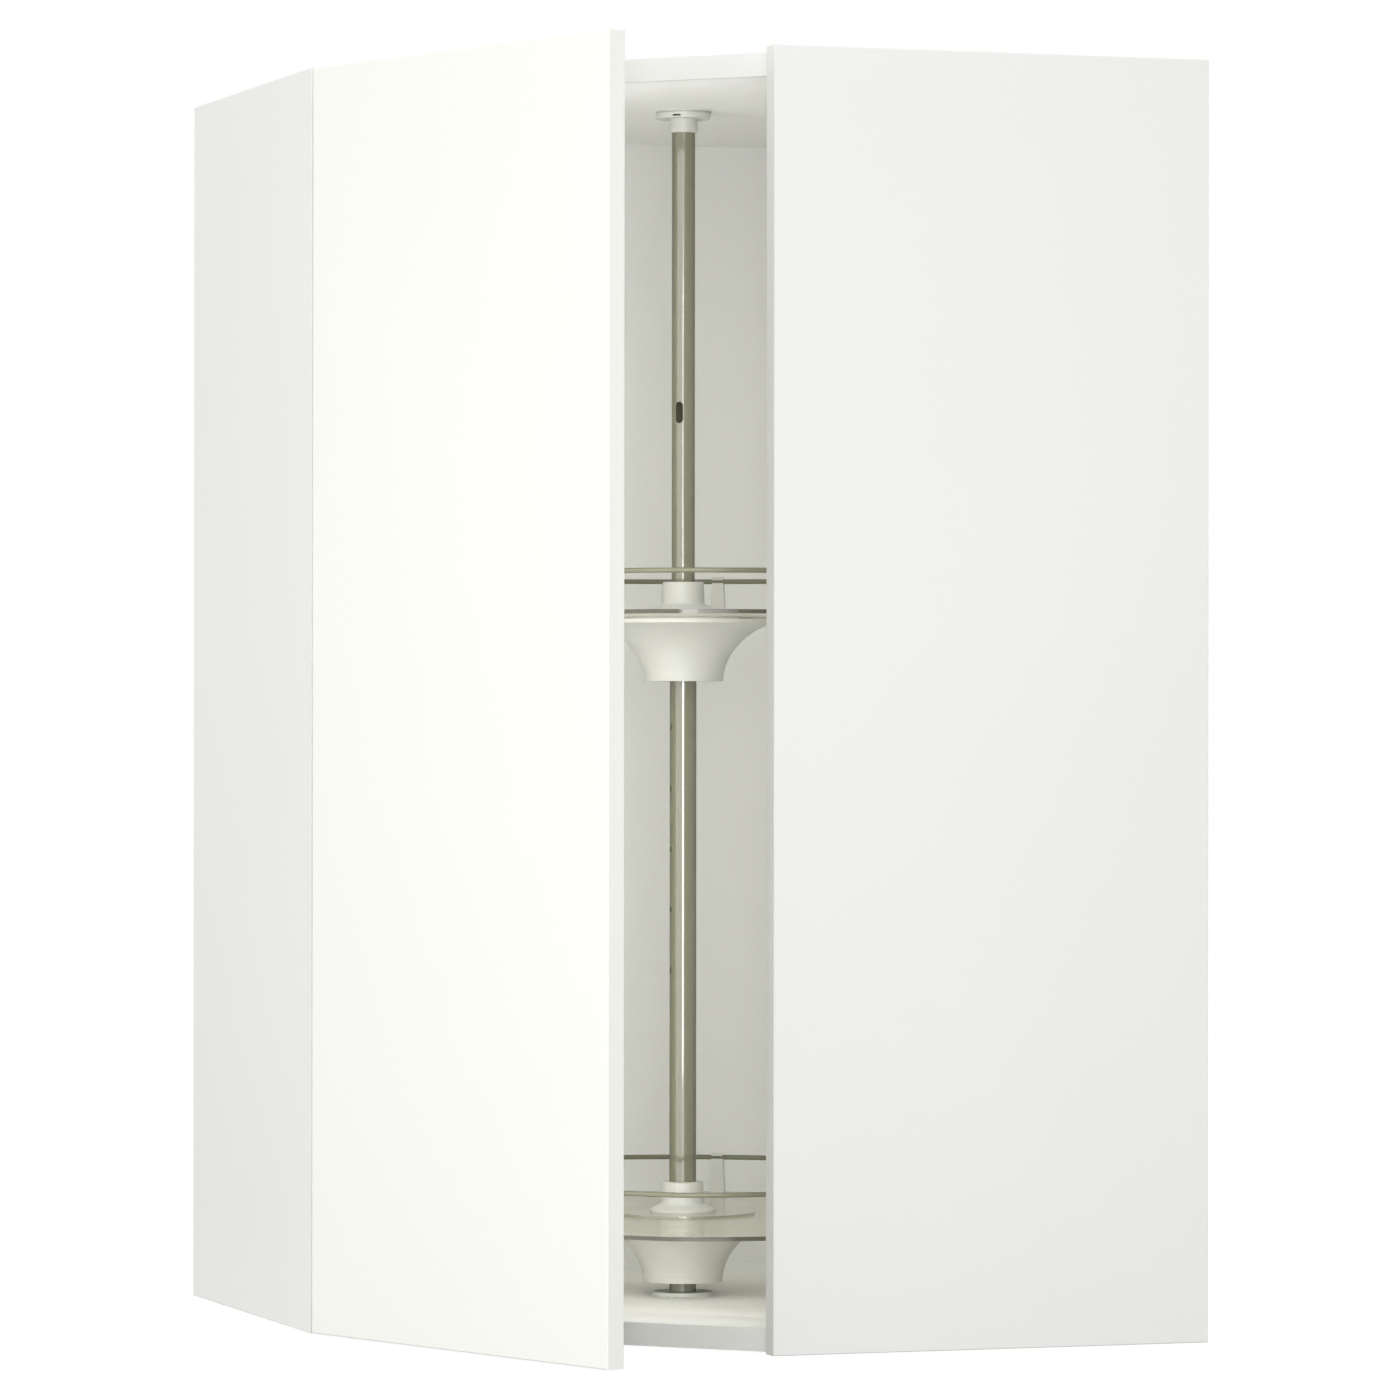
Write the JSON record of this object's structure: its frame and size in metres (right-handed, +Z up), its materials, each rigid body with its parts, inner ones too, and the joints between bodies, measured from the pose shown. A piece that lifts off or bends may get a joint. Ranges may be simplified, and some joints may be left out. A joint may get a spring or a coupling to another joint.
{
  "type": "corner wall cabinet with carousel",
  "caption": "Diagonal corner wall cabinet with a hinged door ajar and round clear shelves that turn on a telescopic pole.",
  "frame": {"origin": "the room corner on the level of the cabinet's underside: the lowest point of the rear corner edge", "axes": "+Z up; the wall beside the right-hand side is the plane Y=0 and runs along +X; the other wall is the plane X=0 and runs along -Y; the door looks along +X and -Y at 45 degrees"},
  "size_m": [0.7339, 0.6584, 1.016],
  "materials": {
    "white_board": "white melamine foil on particleboard, satin",
    "door_board": "white foil on fibreboard, semi-gloss",
    "back_board": "white lacquer on hardboard, satin",
    "raw_wood": "untreated wood",
    "zinc_steel": "zinc plated",
    "nickel_steel": "nickel plated",
    "pole_paint": "olive-grey powder coat, smooth and glossy",
    "white_plastic": "satin moulded",
    "clear_shelf": "transparent, polished",
    "stop_rubber": "matt"
  },
  "bodies": {
    "cabinet": {"side_left": "white_board", "side_right": "white_board", "top_board": "white_board", "bottom_board": "white_board", "back_panel_left": "back_board", "back_panel_right": "back_board", "corner_batten": "raw_wood", "board_dowels": "raw_wood", "cam_bolts": "zinc_steel", "cam_nuts": "zinc_steel", "hanger_left": "white_plastic", "hanger_right": "white_plastic", "hanger_screws": "zinc_steel", "hinge_plates": "nickel_steel", "hinge_plate_screws": "zinc_steel", "hinge_arms": "nickel_steel", "hinge_pins": "nickel_steel", "pole_base": "white_plastic", "pole_base_screws": "zinc_steel", "pole_lower_tube": "pole_paint", "pole_upper_tube": "pole_paint", "telescope_pin": "zinc_steel", "pole_top_plate": "white_plastic", "pole_top_screws": "zinc_steel", "pole_top_cap": "white_plastic", "support_pin_low": "zinc_steel", "support_ring_low": "white_plastic", "support_pin_high": "zinc_steel", "support_ring_high": "white_plastic"},
    "door": {"door_panel": "door_board", "hinge_cups": "nickel_steel", "hinge_cup_screws": "zinc_steel", "door_stops": "stop_rubber"},
    "lower_carousel": {"shelf_low": "clear_shelf", "hub_collar_low": "white_plastic", "hub_bell_low": "white_plastic", "rail_low": "pole_paint", "rail_clips_low": "white_plastic", "clip_screws_low": "zinc_steel"},
    "upper_carousel": {"shelf_high": "clear_shelf", "hub_collar_high": "white_plastic", "hub_bell_high": "white_plastic", "rail_high": "pole_paint", "rail_clips_high": "white_plastic", "clip_screws_high": "zinc_steel"}
  },
  "joints": [
    {"name": "door_hinge", "type": "hinge", "parent": "cabinet", "child": "door", "pos_m": [0.3694, -0.65, 0.508], "axis": [0, 0, -1], "range_deg": [-24.7, 75.3]},
    {"name": "lower_carousel_turn", "type": "hinge", "parent": "cabinet", "child": "lower_carousel", "pos_m": [0.326, -0.326, 0.0878], "axis": [0, 0, 1], "continuous": true},
    {"name": "upper_carousel_turn", "type": "hinge", "parent": "cabinet", "child": "upper_carousel", "pos_m": [0.326, -0.326, 0.5815], "axis": [0, 0, 1], "continuous": true}
  ]
}
